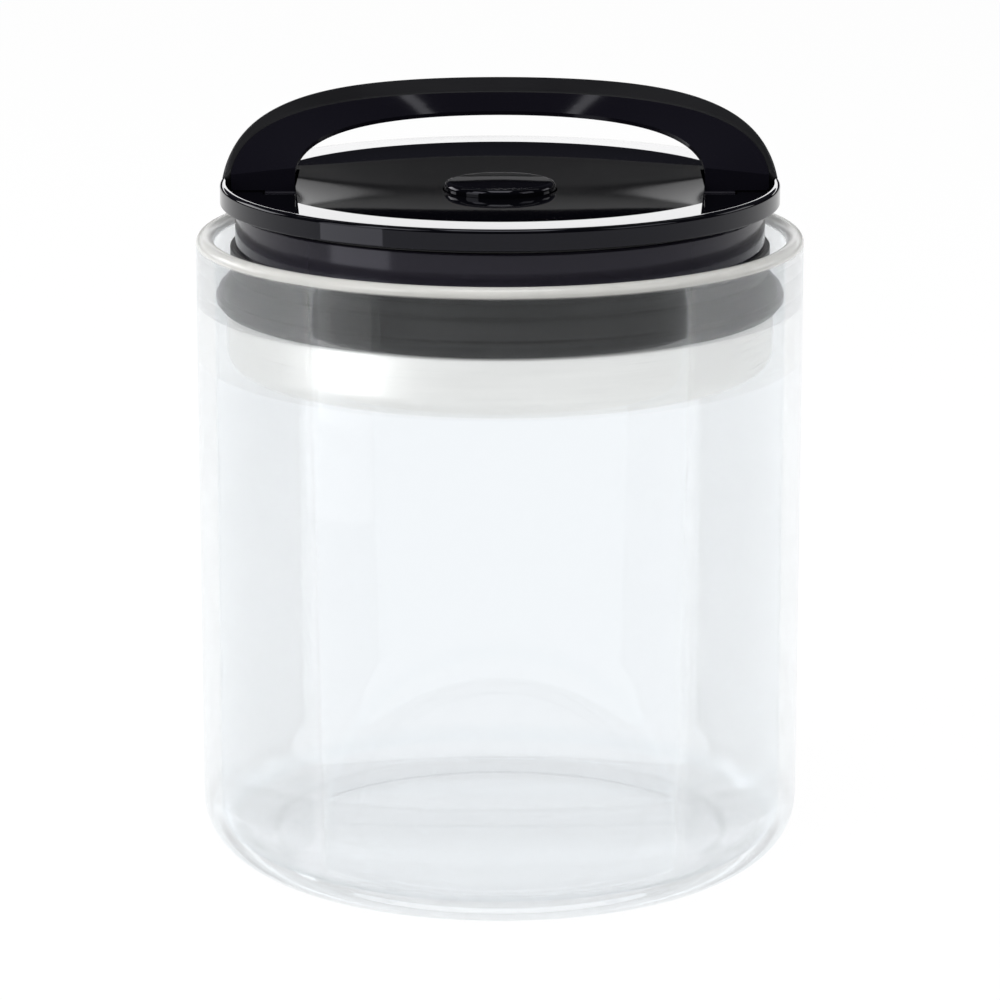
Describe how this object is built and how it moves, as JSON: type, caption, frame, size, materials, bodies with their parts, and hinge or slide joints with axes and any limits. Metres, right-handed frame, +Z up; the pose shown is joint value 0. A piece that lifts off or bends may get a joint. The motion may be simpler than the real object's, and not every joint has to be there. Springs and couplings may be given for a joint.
{
  "type": "vacuum seal canister",
  "caption": "Straight glass jar with a push-down lid: grey wiping gasket, brushed steel pan, gloss black cover, folding bail handle and a one-way valve.",
  "frame": {"origin": "centre of the jar's base, on the surface it stands on", "axes": "+Z up along the jar, -Y towards the front, the handle folds down towards +Y and its hinge runs along X"},
  "size_m": [0.12, 0.12, 0.1492],
  "materials": {
    "glass": "clear, polished",
    "silicone": "dark grey, satin",
    "steel": "brushed",
    "collar_black": "satin gloss black",
    "cover_black": "high gloss black",
    "seal_rubber": "black",
    "screw_steel": "zinc plated",
    "inner_plastic": "matt dark grey",
    "bush_plastic": "natural acetal",
    "handle_black": "gloss black",
    "grip_black": "soft matt charcoal",
    "button_black": "high gloss black"
  },
  "bodies": {
    "jar": {"glass_jar": "glass"},
    "lid": {"gasket": "silicone", "steel_pan": "steel", "collar_housing": "collar_black", "top_cover": "cover_black", "cover_seal": "seal_rubber", "cover_screws": "screw_steel", "pan_seal": "seal_rubber", "inlet_nut": "inner_plastic", "inlet_screen": "screw_steel", "hinge_bush_right": "bush_plastic", "hinge_bush_left": "bush_plastic", "valve_seat": "bush_plastic"},
    "handle": {"handle_frame": "handle_black", "handle_grip": "grip_black", "hinge_pin_right": "screw_steel", "hinge_pin_left": "screw_steel", "lift_pin_right": "screw_steel", "lift_pin_left": "screw_steel"},
    "lifter": {"lift_bar": "inner_plastic", "valve_spring": "screw_steel"},
    "valve": {"valve_stem": "screw_steel", "valve_disc": "silicone", "stem_clip": "screw_steel", "valve_button": "button_black"}
  },
  "joints": [
    {"name": "lid_slide", "type": "slide", "parent": "jar", "child": "lid", "axis": [0, 0, 1], "range_m": [-0.09, 0.045]},
    {"name": "handle_hinge", "type": "hinge", "parent": "lid", "child": "handle", "pos_m": [0, -0.0005, 0.1324], "axis": [1, 0, 0], "range_deg": [0, 72]},
    {"name": "bar_lift", "type": "slide", "parent": "lid", "child": "lifter", "axis": [0, 0, 1], "range_m": [0, 0.0016]},
    {"name": "valve_slide", "type": "slide", "parent": "lifter", "child": "valve", "axis": [0, 0, 1], "range_m": [0, 0.0015], "stiffness_N_per_m": 20, "springref_m": -0.003, "deforming": ["valve_spring"]}
  ],
  "couplings": [
    {"joint": "handle_hinge", "follows": "bar_lift", "rad_per_m": 785.39}
  ]
}
